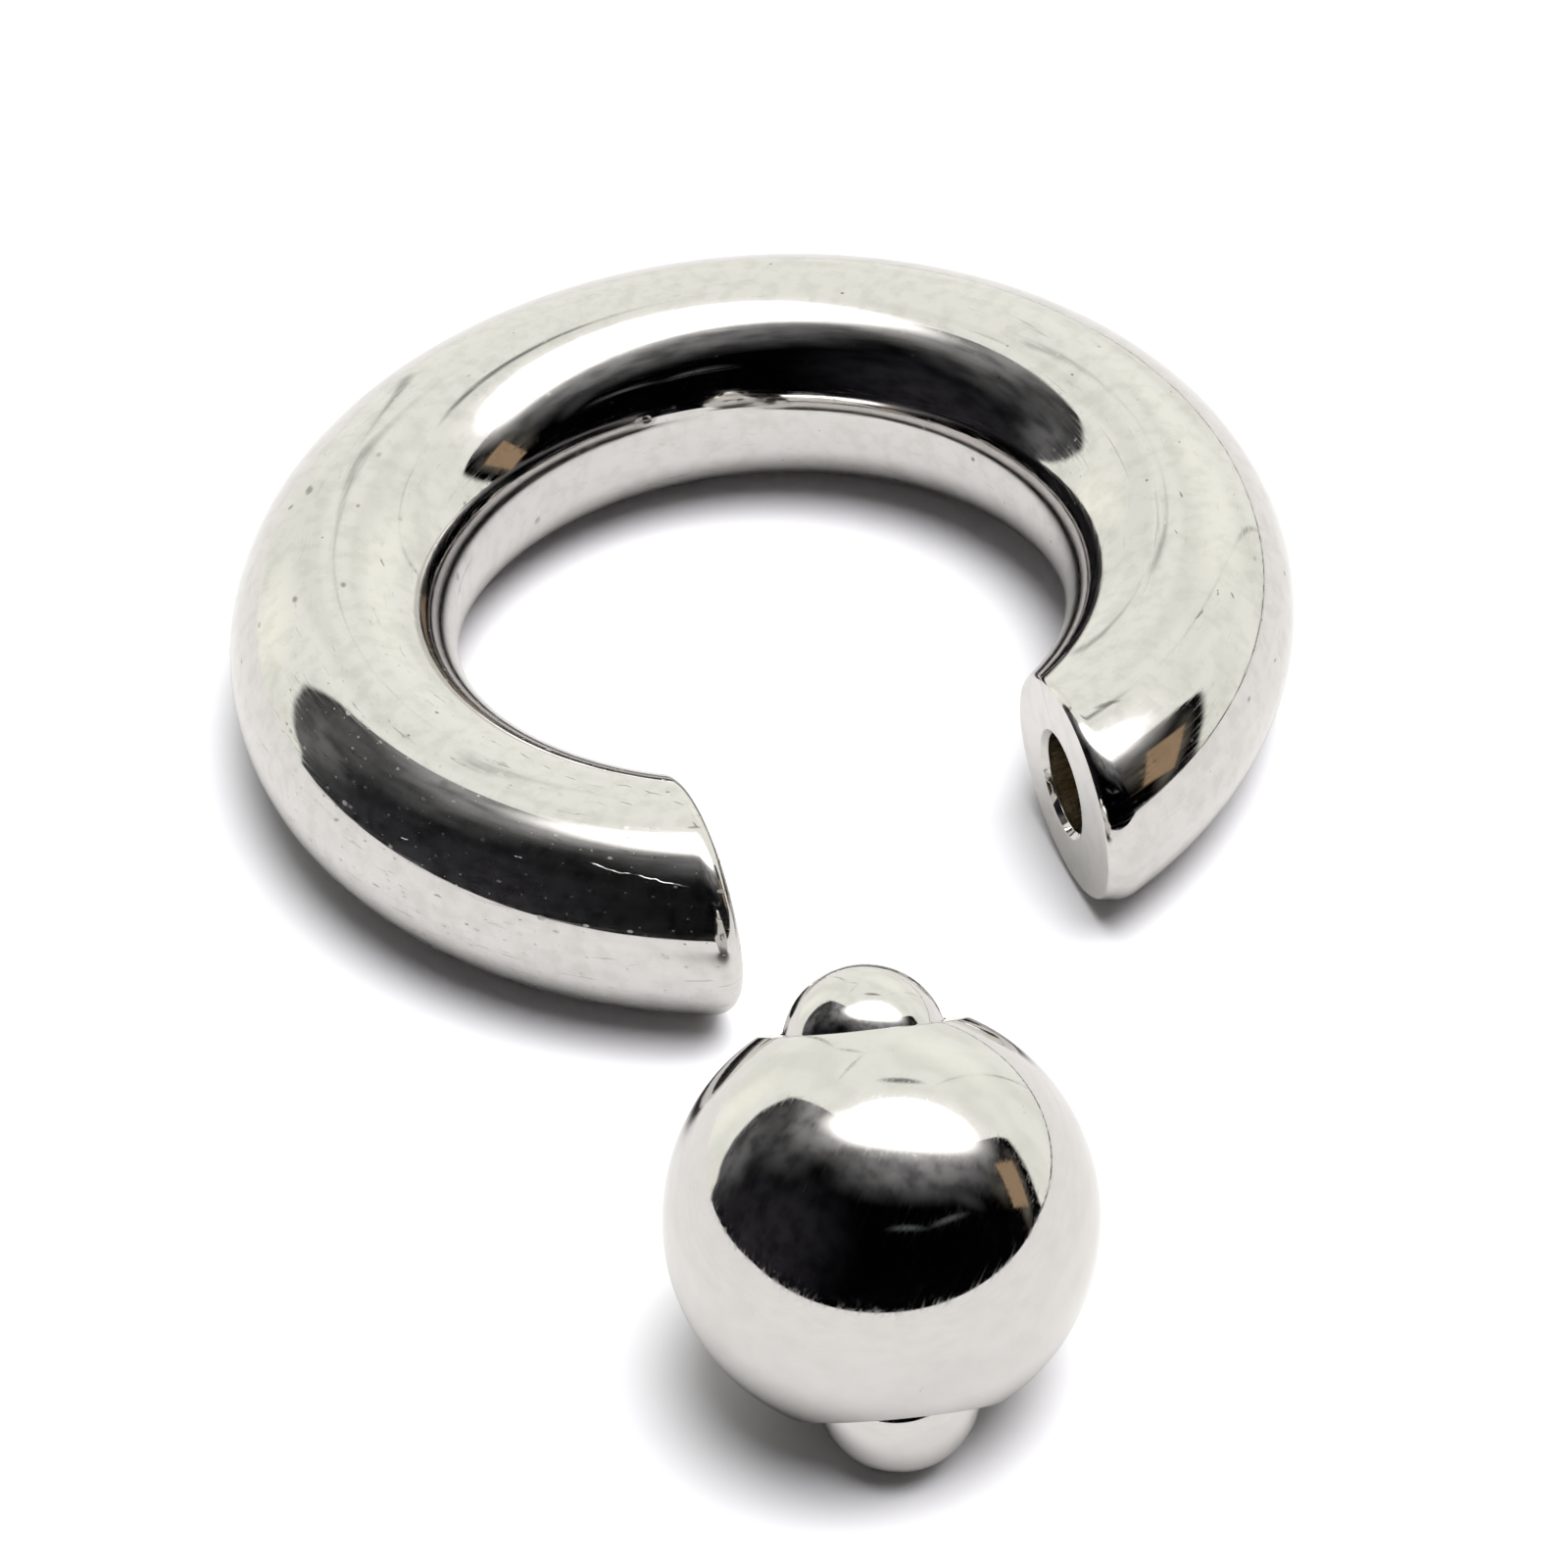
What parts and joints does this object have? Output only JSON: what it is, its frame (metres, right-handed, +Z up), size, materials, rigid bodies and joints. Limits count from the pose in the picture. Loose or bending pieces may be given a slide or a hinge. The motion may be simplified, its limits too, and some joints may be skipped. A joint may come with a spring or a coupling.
{
  "type": "captive bead ring",
  "caption": "Thick round-wire steel ring open at a gap, with a drilled socket in each flat end, and the loose flatted ball whose sprung plungers snap in between the ends.",
  "frame": {"origin": "centre of the ring, on the middle plane of its wire, half a wire above the surface it lies on", "axes": "+Z up from the surface the ring lies on, -Y from the ring's centre through the middle of its gap, +X along the line through the two sockets"},
  "size_m": [0.028, 0.044, 0.0104],
  "materials": {
    "ring_steel": "mirror-polished surgical stainless steel with fine scratches",
    "bead_steel": "mirror-polished surgical stainless steel",
    "plunger_steel": "bright bearing-ball steel",
    "spring_steel": "drawn spring wire"
  },
  "bodies": {
    "ring": {"ring": "ring_steel"},
    "bead": {"bead": "bead_steel", "spring": "spring_steel"},
    "plunger_upper": {"plunger_upper": "plunger_steel"},
    "plunger_lower": {"plunger_lower": "plunger_steel"}
  },
  "joints": [
    {"name": "bead_slide", "type": "slide", "parent": "ring", "child": "bead", "axis": [0.3363, 0.9417, 0], "range_m": [-0.01, 0.007]},
    {"name": "plunger_upper_press", "type": "slide", "parent": "bead", "child": "plunger_upper", "axis": [-0.1664, -0.6209, -0.766], "range_m": [0, 0.0013], "stiffness_N_per_m": 2800, "deforming": ["spring"]},
    {"name": "plunger_lower_press", "type": "slide", "parent": "bead", "child": "plunger_lower", "axis": [0.1664, 0.6209, 0.766], "range_m": [0, 0.0013], "stiffness_N_per_m": 2800, "deforming": ["spring"]}
  ]
}
